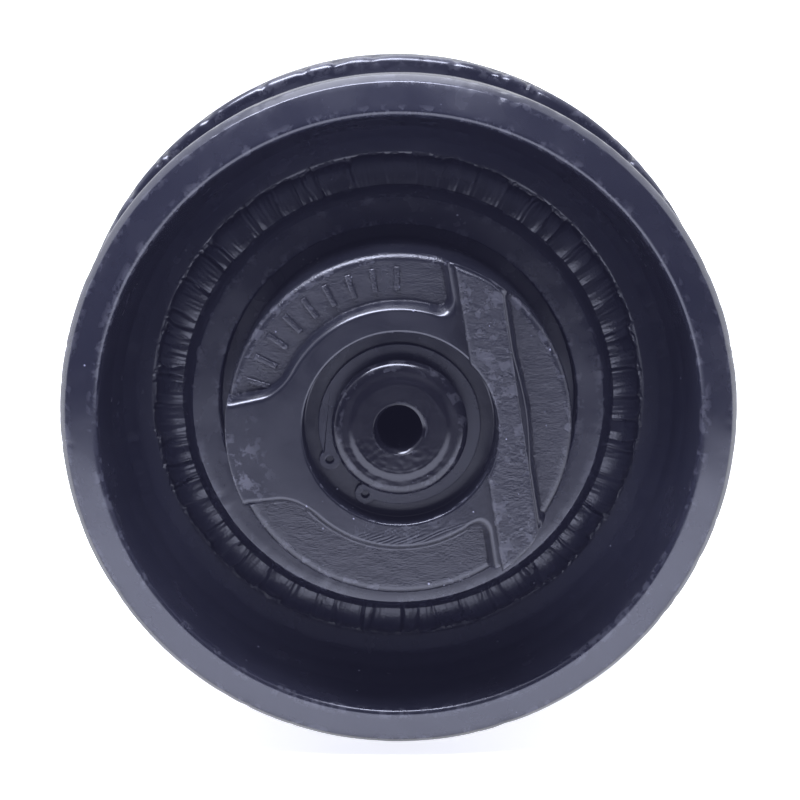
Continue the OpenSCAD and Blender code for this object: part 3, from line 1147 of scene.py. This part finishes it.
@dataclass
class Studio:
    """Pale floor, overhead softbox and a camera in front, a little above the axle.

    Attributes:
        elevation: Height of the camera's aim over the axle, in degrees.
        azimuth: Turn of the camera's aim off the axle, in degrees.
        distance: From the camera to the front rim's plane, in metres.
        off_axis: How far that rim's centre is right of and below the optical axis.
        lens: Focal length in millimetres on a 36 mm sensor.
        rim_y: Place of the front rim's plane along the axle, in metres.
        floor_z: Height of the floor, in metres.
        bend_y: Where the paper starts to rise, in metres.
        bend_r: Radius of its rise, in metres.
        veil: Black level of each channel; below zero lifts the shadows.
        fill: Brightness of the room as shadows see it.
        paper: Brightness of the lit paper in reflections, at the back and at the sides.
        room: (sine of the height, brightness) of the room in reflections.
    """

    elevation: float = 9.60
    azimuth: float = -0.56
    distance: float = 0.800
    off_axis: tuple[float, float] = (-0.0003, 0.0060)
    lens: float = 106.65
    rim_y: float = -0.089
    floor_z: float = -0.1195
    bend_y: float = 1.7
    bend_r: float = 0.7
    veil: tuple[float, float, float] = (-0.008, -0.008, -0.017)
    fill: float = 0.35
    paper: tuple[float, float] = (0.85, 2.1)
    room: tuple[tuple[float, float], ...] = ((-1.0, 3.4), (-0.8, 4.6), (-0.5, 4.5), (-0.36, 4.4), (-0.30, 4.2),
                                             (-0.265, 3.2), (-0.235, 1.3), (-0.20, 0.14), (-0.15, 0.04),
                                             (0.0, 0.03), (0.3, 0.08), (0.55, 0.3), (1.0, 0.5))

    def camera(self) -> bpy.types.Object:
        """Sets the camera by where the axle's direction and the front rim's centre fall in its view.

        Returns:
            The camera.
        """
        e, a = math.radians(self.elevation), math.radians(self.azimuth)
        along = Vector((math.sin(a) * math.cos(e), -math.sin(e), math.cos(a) * math.cos(e)))
        up = Vector((0.0, -along.z, along.y)).normalized()
        right = along.cross(up)
        axes = Matrix((right, along, up)).transposed()
        rim = Vector((*self.off_axis, self.distance))
        eye = Vector((0.0, self.rim_y, 0.0)) - axes.transposed() @ rim
        turn = axes.transposed() @ Matrix(((1, 0, 0), (0, -1, 0), (0, 0, -1)))
        data = bpy.data.cameras.new("camera")
        data.lens, data.sensor_width, data.clip_start = self.lens, 36.0, 0.01
        camera = in_scene("camera", data)
        camera.matrix_world = Matrix.Translation(eye) @ turn.to_4x4()
        bpy.context.scene.camera = camera
        return camera

    def sweep(self) -> bpy.types.Object:
        """A white paper sweep: flat floor, a quarter circle at the back and a wall.

        The profile is three stretches joined smoothly, carried straight across. The paper
        glows by emission, painted light that rises along y from 0.8 at the front to 1.3 at the back.

        Returns:
            The sweep.
        """
        bend = np.radians(np.linspace(0.0, 90.0, 13))
        y = np.concatenate([np.linspace(-14.0, self.bend_y, 20), self.bend_y + self.bend_r * np.sin(bend),
                            np.full(6, self.bend_y + self.bend_r)])
        z = np.concatenate([np.zeros(20), self.bend_r * (1 - np.cos(bend)), self.bend_r + np.linspace(0.3, 9.0, 6)])
        x = np.array([-14.0, 14.0])
        grid = np.stack(np.broadcast_arrays(x[:, None], y, z + self.floor_z), -1)
        index = np.arange(2 * len(y)).reshape(2, -1)
        quads = np.stack([index[0, :-1], index[1, :-1], index[1, 1:], index[0, 1:]], -1)
        mesh = bpy.data.meshes.new("paper_sweep")
        mesh.from_pydata(grid.reshape(-1, 3), [], quads.tolist())
        mesh.shade_smooth()
        made, tree = blank_material("matt_white_paper_painted_glow")
        place = put(tree, "TexCoord").outputs["Object"]
        axes = put(tree, "SeparateXYZ", {"Vector": place})
        # Painted light: the paper's emission rises from 0.8 to 1.3 between y = -0.1 m and y = 0.5 m.
        painted_glow = put(tree, "MapRange", {0: axes.outputs["Y"], 1: -0.1, 2: 0.5, 3: 0.8, 4: 1.3})
        paper = put(tree, "BsdfPrincipled", {"Base Color": linear("f2f2f4"), "Roughness": 0.95,
                                             "Emission Color": linear("f6f7ff"), "Emission Strength": painted_glow})
        put(tree, "OutputMaterial", {"Surface": paper})
        mesh.materials.append(made)
        sweep = in_scene("paper_sweep", mesh)
        sweep.visible_glossy = False
        return sweep

    def softbox(self, name: str, place: tuple[float, float, float], aim: tuple[float, float, float],
                size: tuple[float, float], power: float) -> None:
        """Adds an area light.

        Args:
            name: Name of the light.
            place: Where it hangs, in metres.
            aim: Where it points, in metres.
            size: Its sides in metres.
            power: Its power in watts.
        """
        data = bpy.data.lights.new(name, "AREA")
        data.shape, data.size, data.size_y, data.energy = "RECTANGLE", size[0], size[1], power
        data.color = (0.93, 0.95, 1.0)
        light = in_scene(name, data)
        light.location = place
        light.rotation_euler = (Vector(aim) - Vector(place)).to_track_quat("-Z", "Y").to_euler()

    def surroundings(self) -> None:
        """Pale room for the eye, softer fill for shadows, and a graded room for reflections.

        Reflections see by height a pool of light on the floor near the roller, which fades
        to dark towards the horizon, then a dim ceiling. Beside and behind the roller they
        see the lit paper.
        """
        world = bpy.data.worlds.new("studio")
        bpy.context.scene.world = world
        world.use_nodes = True
        tree = world.node_tree
        tree.nodes.clear()
        path = put(tree, "LightPath")
        pale = put(tree, "Background", {"Color": linear("f2f4ff"), "Strength": 0.75})
        fill = put(tree, "Background", {"Color": linear("e8ebff"), "Strength": self.fill})
        toward = put(tree, "TexCoord").outputs["Generated"]
        axes = put(tree, "SeparateXYZ", {"Vector": toward})
        height = put(tree, "MapRange", {0: axes.outputs["Z"], 1: -1.0, 2: 1.0})
        graded = put(tree, "ValToRGB", {0: height})
        stops = graded.color_ramp.elements
        peak = max(level for _, level in self.room)
        for number, (rise, level) in enumerate(self.room):
            ends = {0: stops[0], len(self.room) - 1: stops[len(stops) - 1]}
            stop = ends[number] if number in ends else stops.new(0.5 + 0.5 * rise)
            share = level / peak
            stop.color = (0.93 * share, 0.95 * share, share, 1.0)
        aside = put(tree, "Math", {0: axes.outputs["X"]}, operation="ABSOLUTE")
        back, side = ([tint * level / peak for tint in (0.93, 0.95, 1.0)] + [1.0] for level in self.paper)
        white = put(tree, "Mix", {"Factor": aside, 6: back, 7: side}, data_type="RGBA").outputs[2]
        behind = put(tree, "MapRange", {0: axes.outputs["Y"], 1: -0.6, 2: -0.05})
        paper = put(tree, "Mix", {"Factor": behind, 6: graded, 7: white}, data_type="RGBA").outputs[2]
        seen = put(tree, "Background", {"Color": paper, "Strength": peak})
        mix = put(tree, "MixShader", {0: path.outputs["Is Diffuse Ray"], 1: pale, 2: fill})
        mix = put(tree, "MixShader", {0: path.outputs["Is Glossy Ray"], 1: mix, 2: seen})
        put(tree, "OutputWorld", {"Surface": mix})

    def tone(self) -> None:
        """Plain tone curve with the faint cool veil that a bright backdrop leaves in a lens."""
        settings = bpy.context.scene.view_settings
        settings.view_transform = "Standard"
        settings.use_curve_mapping = True
        settings.curve_mapping.black_level = self.veil
        settings.curve_mapping.update()

    def build(self) -> None:
        """Sets up floor, lights, room and camera."""
        self.tone()
        self.sweep()
        self.softbox("softbox_overhead", (-0.12, 0.04, 0.60), (-0.02, 0.0, 0), (1.15, 0.42), 4.8)
        self.softbox("strip_in_front", (-0.10, -0.28, 0.60), (0.0, -0.08, 0.0), (0.60, 0.18), 10.5)
        self.surroundings()
        self.camera()


def main() -> None:
    """Builds the roller round its frame, then the studio, and logs how many pieces it made."""
    logging.basicConfig(level=logging.INFO, format="%(name)s: %(message)s")
    finishes = Finishes()
    shell = FlangedShell(finishes).build()
    axle = FixedAxle(finishes).build()
    collars = [EndCollar(finishes).build(end) for end in End]
    SealsAndBearings(finishes).dress()
    Studio().build()
    LOG.info("%d shell pieces, %d axle pieces, %d collars", len(shell), len(axle), len(collars))


if __name__ == "__main__":
    main()
